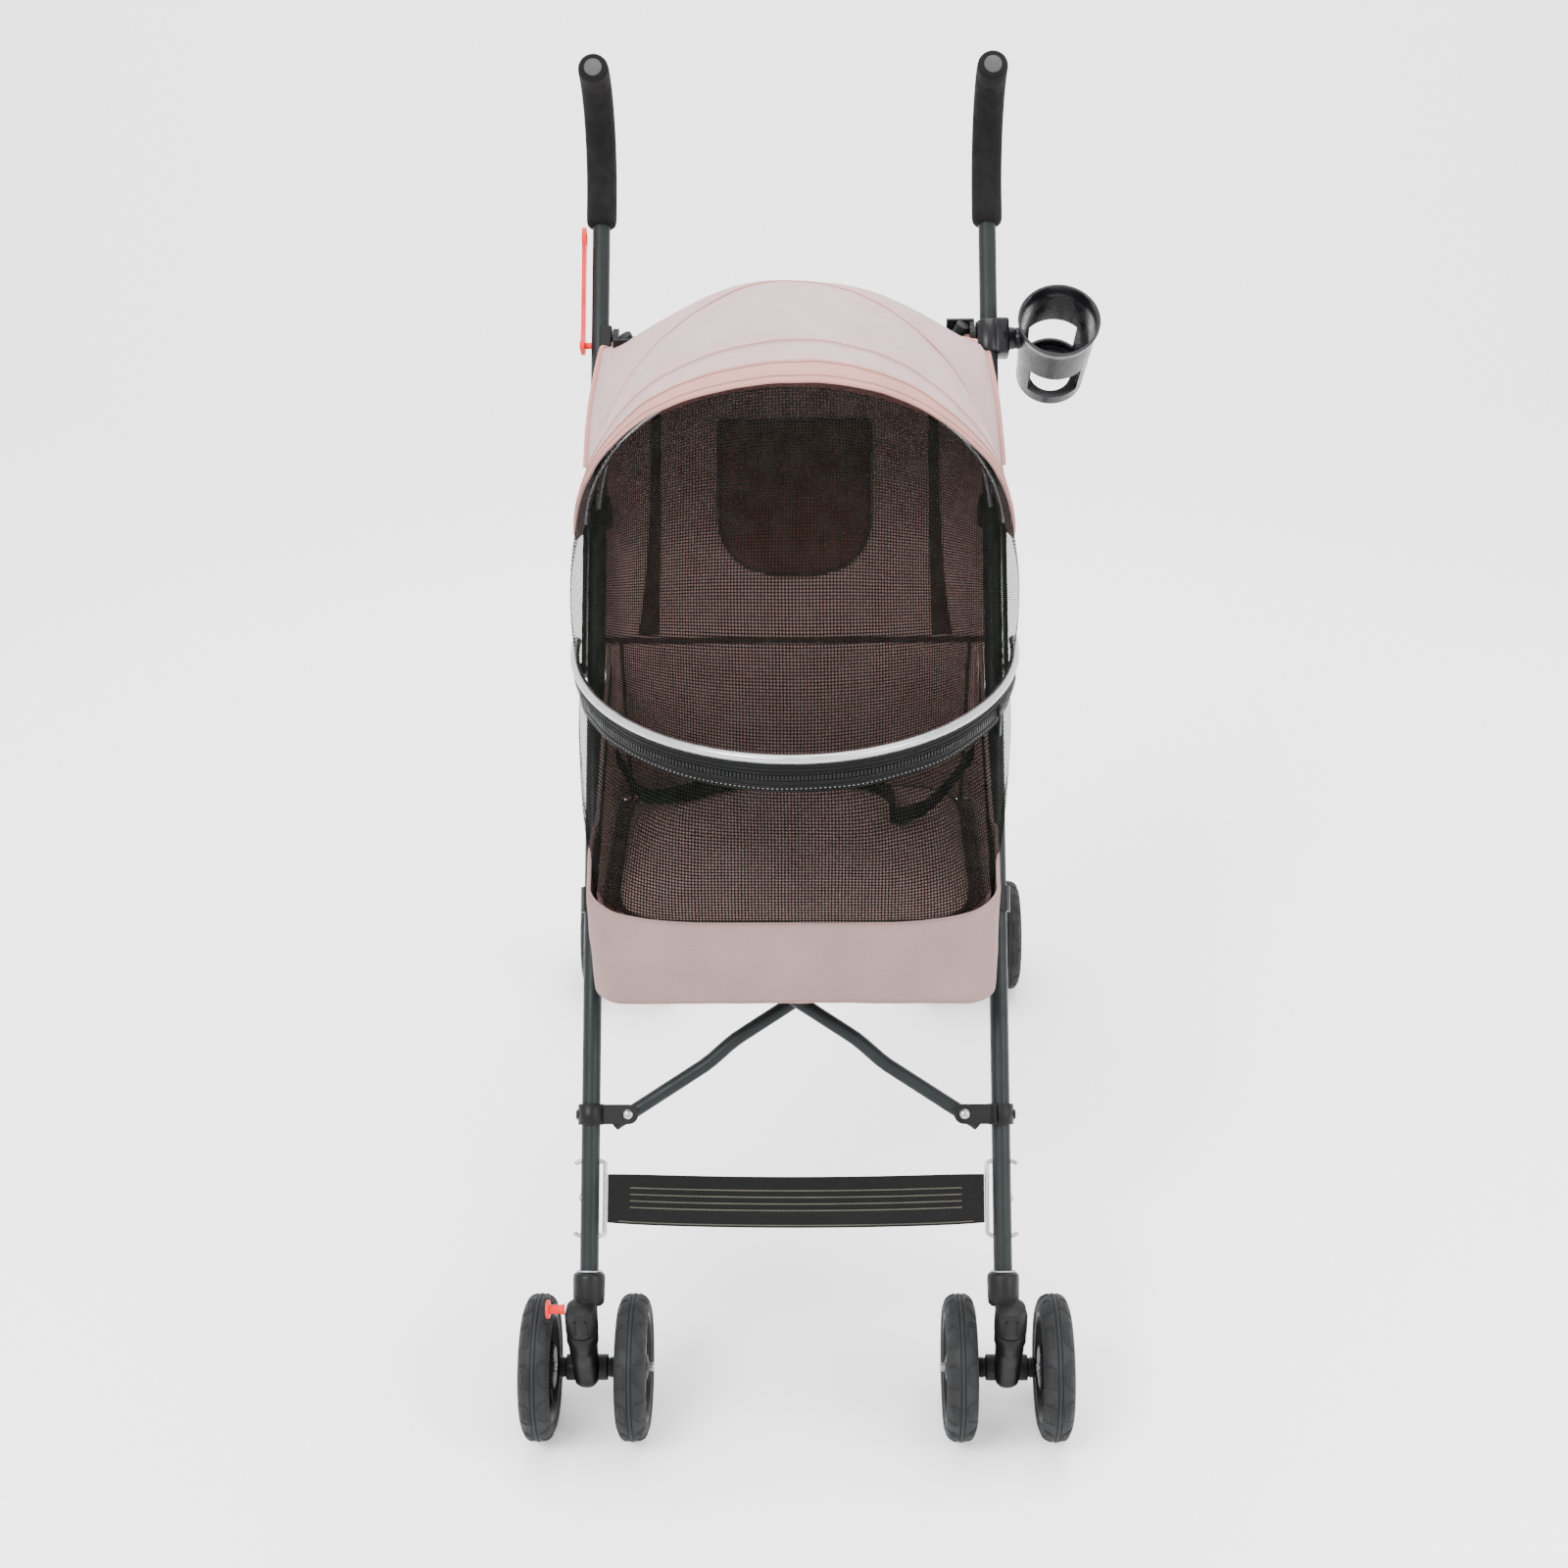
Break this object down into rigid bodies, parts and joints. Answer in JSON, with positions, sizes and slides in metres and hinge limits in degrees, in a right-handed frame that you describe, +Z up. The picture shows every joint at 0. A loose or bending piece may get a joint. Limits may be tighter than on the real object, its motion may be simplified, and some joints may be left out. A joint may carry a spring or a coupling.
{
  "type": "pet stroller",
  "caption": "Folding umbrella-frame pet stroller with swivelling double front wheels, a mesh cabin, a fabric hood, a footrest strap and a cup holder",
  "frame": {"origin": "on the floor, at the middle of the stroller's bounding box seen from above", "axes": "+Z up, the front of the stroller faces -Y, its cup-holder side is +X"},
  "size_m": [0.5264, 0.8462, 1.0737],
  "materials": {
    "frame_paint": "satin dark grey-green powder coat",
    "grip_foam": "matte closed-cell foam",
    "black_plastic": "moulded black nylon, fine texture",
    "tyre": "matte foamed rubber",
    "wheel_hub": "moulded black plastic",
    "steel": "zinc plated",
    "silver_rim": "satin silver",
    "red_plastic": "glossy moulded red plastic",
    "pink_canvas": "plain woven polyester",
    "cushion_plush": "soft padded fabric",
    "mesh_net": "open knitted see-through net",
    "webbing": "black woven webbing",
    "cup_plastic": "smooth black plastic"
  },
  "bodies": {
    "left_side": {"frame_tube_left": "frame_paint", "handle_grip_left": "grip_foam", "side_joint_left": "black_plastic", "upper_brace_bracket_left": "black_plastic", "lower_brace_bracket_left": "black_plastic", "footrest_hook_left": "steel", "caster_socket_left": "black_plastic", "storage_stud": "red_plastic", "footrest_strap": "webbing", "canopy": "pink_canvas", "hood_bow_front": "steel", "hood_bow_rear": "steel", "net_dome": "mesh_net", "front_rim": "silver_rim", "net_wall": "mesh_net", "basket_tub": "pink_canvas", "back_panel": "pink_canvas", "cushion": "cushion_plush"},
    "right_side": {"frame_tube_right": "frame_paint", "handle_grip_right": "grip_foam", "side_joint_right": "black_plastic", "upper_brace_bracket_right": "black_plastic", "lower_brace_bracket_right": "black_plastic", "footrest_hook_right": "steel", "caster_socket_right": "black_plastic", "cup_clamp": "cup_plastic"},
    "rear_leg_left": {"rear_leg_left": "frame_paint", "rear_housing_left": "black_plastic"},
    "upper_swivel_left": {"upper_brace_swivel_left": "black_plastic"},
    "upper_arm_left": {"upper_brace_arm_left": "frame_paint"},
    "upper_foot_left": {"upper_brace_foot_left": "black_plastic"},
    "lower_arm_left": {"lower_brace_arm_left": "frame_paint"},
    "lower_slider_left": {"lower_brace_slider_left": "black_plastic"},
    "caster_left": {"caster_fork_left": "black_plastic", "front_axle_left": "steel"},
    "front_wheel_left_inner": {"front_tyre_left_inner": "tyre", "front_hub_left_inner": "wheel_hub"},
    "rear_wheel_left_inner": {"rear_wheel_left_inner": "tyre"},
    "front_wheel_left_outer": {"front_tyre_left_outer": "tyre", "front_hub_left_outer": "wheel_hub"},
    "rear_wheel_left_outer": {"rear_wheel_left_outer": "tyre"},
    "brake_left": {"brake_pedal_left": "black_plastic"},
    "rear_leg_right": {"rear_leg_right": "frame_paint", "rear_housing_right": "black_plastic"},
    "upper_swivel_right": {"upper_brace_swivel_right": "black_plastic"},
    "upper_arm_right": {"upper_brace_arm_right": "frame_paint"},
    "upper_foot_right": {"upper_brace_foot_right": "black_plastic"},
    "lower_arm_right": {"lower_brace_arm_right": "frame_paint"},
    "lower_slider_right": {"lower_brace_slider_right": "black_plastic"},
    "caster_right": {"caster_fork_right": "black_plastic", "front_axle_right": "steel"},
    "front_wheel_right_inner": {"front_tyre_right_inner": "tyre", "front_hub_right_inner": "wheel_hub"},
    "rear_wheel_right_inner": {"rear_wheel_right_inner": "tyre"},
    "front_wheel_right_outer": {"front_tyre_right_outer": "tyre", "front_hub_right_outer": "wheel_hub"},
    "rear_wheel_right_outer": {"rear_wheel_right_outer": "tyre"},
    "brake_right": {"brake_pedal_right": "black_plastic"},
    "storage_latch": {"storage_latch": "red_plastic"},
    "cup_holder": {"cup_holder": "cup_plastic"}
  },
  "joints": [
    {"name": "frame_fold", "type": "slide", "parent": "left_side", "child": "right_side", "axis": [-1, 0, 0], "range_m": [0, 0.17], "deforming": ["footrest_strap", "canopy", "hood_bow_front", "hood_bow_rear", "net_dome", "front_rim", "net_wall", "basket_tub", "back_panel", "cushion"]},
    {"name": "rear_leg_fold_left", "type": "hinge", "parent": "left_side", "child": "rear_leg_left", "pos_m": [-0.18785, 0.06373, 0.68495], "axis": [-1, 0, 0], "range_deg": [0, 45.05]},
    {"name": "upper_swivel_turn_left", "type": "hinge", "parent": "left_side", "child": "upper_swivel_left", "pos_m": [-0.16105, 0.1385, 0.8321], "axis": [-1, 0, 0], "range_deg": [0, 35.79]},
    {"name": "upper_arm_turn_left", "type": "hinge", "parent": "upper_swivel_left", "child": "upper_arm_left", "pos_m": [-0.16105, 0.1385, 0.8321], "axis": [0, 0.9678, 0.2517], "range_deg": [0, 13.57]},
    {"name": "upper_foot_turn_left", "type": "hinge", "parent": "rear_leg_left", "child": "upper_foot_left", "pos_m": [-0.16105, 0.31257, 0.16264], "axis": [1, 0, 0], "range_deg": [0, 9.31]},
    {"name": "lower_arm_turn_left", "type": "hinge", "parent": "left_side", "child": "lower_arm_left", "pos_m": [-0.15585, -0.27165, 0.26757], "axis": [0, -0.809, 0.5878], "range_deg": [0, 37.05]},
    {"name": "lower_slider_travel_left", "type": "slide", "parent": "left_side", "child": "lower_slider_left", "axis": [0, 0.5878, 0.809], "range_m": [0, 0.13671]},
    {"name": "rear_leg_fold_right", "type": "hinge", "parent": "right_side", "child": "rear_leg_right", "pos_m": [0.16515, 0.06373, 0.68495], "axis": [-1, 0, 0], "range_deg": [0, 45.05]},
    {"name": "upper_swivel_turn_right", "type": "hinge", "parent": "right_side", "child": "upper_swivel_right", "pos_m": [0.13835, 0.1385, 0.8321], "axis": [-1, 0, 0], "range_deg": [0, 35.79]},
    {"name": "upper_arm_turn_right", "type": "hinge", "parent": "upper_swivel_right", "child": "upper_arm_right", "pos_m": [0.13835, 0.1385, 0.8321], "axis": [0, -0.9678, -0.2517], "range_deg": [0, 13.57]},
    {"name": "upper_foot_turn_right", "type": "hinge", "parent": "rear_leg_right", "child": "upper_foot_right", "pos_m": [0.13835, 0.31257, 0.16264], "axis": [1, 0, 0], "range_deg": [0, 9.31]},
    {"name": "lower_arm_turn_right", "type": "hinge", "parent": "right_side", "child": "lower_arm_right", "pos_m": [0.13315, -0.27165, 0.26757], "axis": [0, 0.809, -0.5878], "range_deg": [0, 37.05]},
    {"name": "lower_slider_travel_right", "type": "slide", "parent": "right_side", "child": "lower_slider_right", "axis": [0, 0.5878, 0.809], "range_m": [0, 0.13671]},
    {"name": "caster_swivel_left", "type": "hinge", "parent": "left_side", "child": "caster_left", "pos_m": [-0.19335, -0.378, 0.1196], "axis": [0, 0, 1], "continuous": true},
    {"name": "front_wheel_spin_left_inner", "type": "hinge", "parent": "caster_left", "child": "front_wheel_left_inner", "pos_m": [-0.15255, -0.36, 0.0631], "axis": [1, 0, 0], "continuous": true},
    {"name": "front_wheel_spin_left_outer", "type": "hinge", "parent": "caster_left", "child": "front_wheel_left_outer", "pos_m": [-0.23415, -0.36, 0.0631], "axis": [1, 0, 0], "continuous": true},
    {"name": "rear_wheel_spin_left_inner", "type": "hinge", "parent": "rear_leg_left", "child": "rear_wheel_left_inner", "pos_m": [-0.16655, 0.36, 0.0631], "axis": [1, 0, 0], "continuous": true},
    {"name": "rear_wheel_spin_left_outer", "type": "hinge", "parent": "rear_leg_left", "child": "rear_wheel_left_outer", "pos_m": [-0.24815, 0.36, 0.0631], "axis": [1, 0, 0], "continuous": true},
    {"name": "brake_press_left", "type": "hinge", "parent": "rear_leg_left", "child": "brake_left", "pos_m": [-0.20735, 0.386, 0.0911], "axis": [-1, 0, 0], "range_deg": [0, 18]},
    {"name": "caster_swivel_right", "type": "hinge", "parent": "right_side", "child": "caster_right", "pos_m": [0.17065, -0.378, 0.1196], "axis": [0, 0, 1], "continuous": true},
    {"name": "front_wheel_spin_right_inner", "type": "hinge", "parent": "caster_right", "child": "front_wheel_right_inner", "pos_m": [0.12985, -0.36, 0.0631], "axis": [1, 0, 0], "continuous": true},
    {"name": "front_wheel_spin_right_outer", "type": "hinge", "parent": "caster_right", "child": "front_wheel_right_outer", "pos_m": [0.21145, -0.36, 0.0631], "axis": [1, 0, 0], "continuous": true},
    {"name": "rear_wheel_spin_right_inner", "type": "hinge", "parent": "rear_leg_right", "child": "rear_wheel_right_inner", "pos_m": [0.14385, 0.36, 0.0631], "axis": [1, 0, 0], "continuous": true},
    {"name": "rear_wheel_spin_right_outer", "type": "hinge", "parent": "rear_leg_right", "child": "rear_wheel_right_outer", "pos_m": [0.22545, 0.36, 0.0631], "axis": [1, 0, 0], "continuous": true},
    {"name": "brake_press_right", "type": "hinge", "parent": "rear_leg_right", "child": "brake_right", "pos_m": [0.18465, 0.386, 0.0911], "axis": [-1, 0, 0], "range_deg": [0, 18]},
    {"name": "storage_latch_swing", "type": "hinge", "parent": "left_side", "child": "storage_latch", "pos_m": [-0.20335, 0.1348, 0.827], "axis": [1, 0, 0], "range_deg": [0, 180]},
    {"name": "cup_holder_tilt", "type": "hinge", "parent": "right_side", "child": "cup_holder", "pos_m": [0.18925, 0.13762, 0.83089], "axis": [-1, 0, 0], "range_deg": [-10, 42]}
  ],
  "couplings": [
    {"joint": "rear_leg_fold_left", "follows": "frame_fold", "rad_per_m": 4.62},
    {"joint": "upper_swivel_turn_left", "follows": "frame_fold", "rad_per_m": 3.6697},
    {"joint": "upper_arm_turn_left", "follows": "frame_fold", "rad_per_m": 1.388},
    {"joint": "upper_foot_turn_left", "follows": "frame_fold", "rad_per_m": 0.95032},
    {"joint": "lower_arm_turn_left", "follows": "frame_fold", "rad_per_m": 3.7984},
    {"joint": "lower_slider_travel_left", "follows": "frame_fold", "ratio": 0.80298},
    {"joint": "rear_leg_fold_right", "follows": "frame_fold", "rad_per_m": 4.62},
    {"joint": "upper_swivel_turn_right", "follows": "frame_fold", "rad_per_m": 3.6697},
    {"joint": "upper_arm_turn_right", "follows": "frame_fold", "rad_per_m": 1.388},
    {"joint": "upper_foot_turn_right", "follows": "frame_fold", "rad_per_m": 0.95032},
    {"joint": "lower_arm_turn_right", "follows": "frame_fold", "rad_per_m": 3.7984},
    {"joint": "lower_slider_travel_right", "follows": "frame_fold", "ratio": 0.80298}
  ]
}
